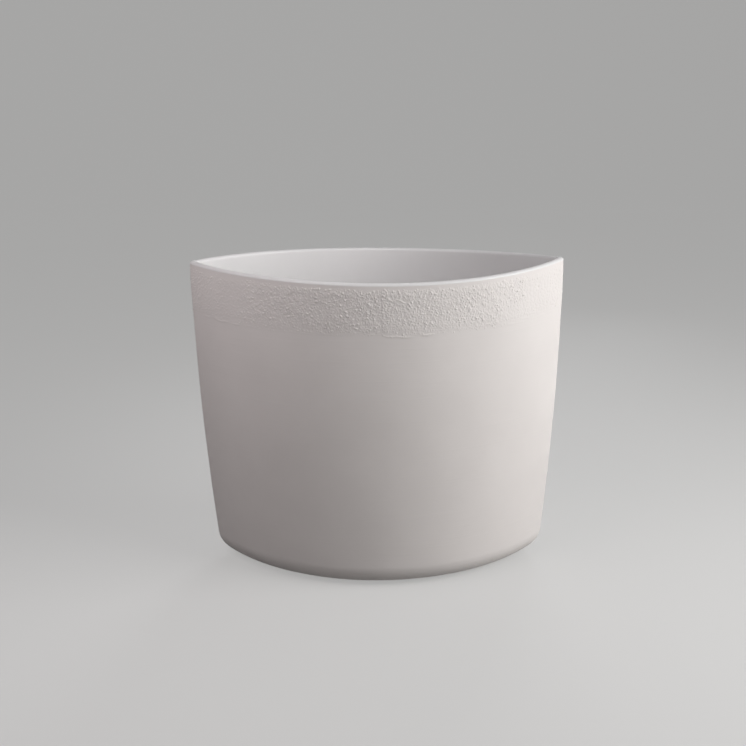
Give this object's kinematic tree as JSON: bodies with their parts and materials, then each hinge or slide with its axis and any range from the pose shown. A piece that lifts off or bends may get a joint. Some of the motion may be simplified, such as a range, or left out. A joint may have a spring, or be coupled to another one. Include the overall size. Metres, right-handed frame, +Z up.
{
  "type": "vase",
  "caption": "Lens-shaped ceramic vase, open at the top, with curved walls meeting in upright edges, a glossy lining and a rough band under the lip, for flowers or a plant.",
  "frame": {"origin": "middle of the foot, on the standing surface", "axes": "+Z up through the mouth, +X along the wide way from upright edge to upright edge, -Y towards the front"},
  "size_m": [0.236, 0.126, 0.1999],
  "materials": {
    "fired_clay": "bare fired clay, slightly grainy",
    "gloss_glaze": "smooth white gloss glaze",
    "matte_glaze": "silky matte white, with faint level lines",
    "grit_slip": "rough matte white with crumbs and short ridges"
  },
  "bodies": {
    "root": {"cast_body": "fired_clay", "gloss_lining": "gloss_glaze", "matte_coat": "matte_glaze", "rough_band": "grit_slip"}
  },
  "joints": []
}
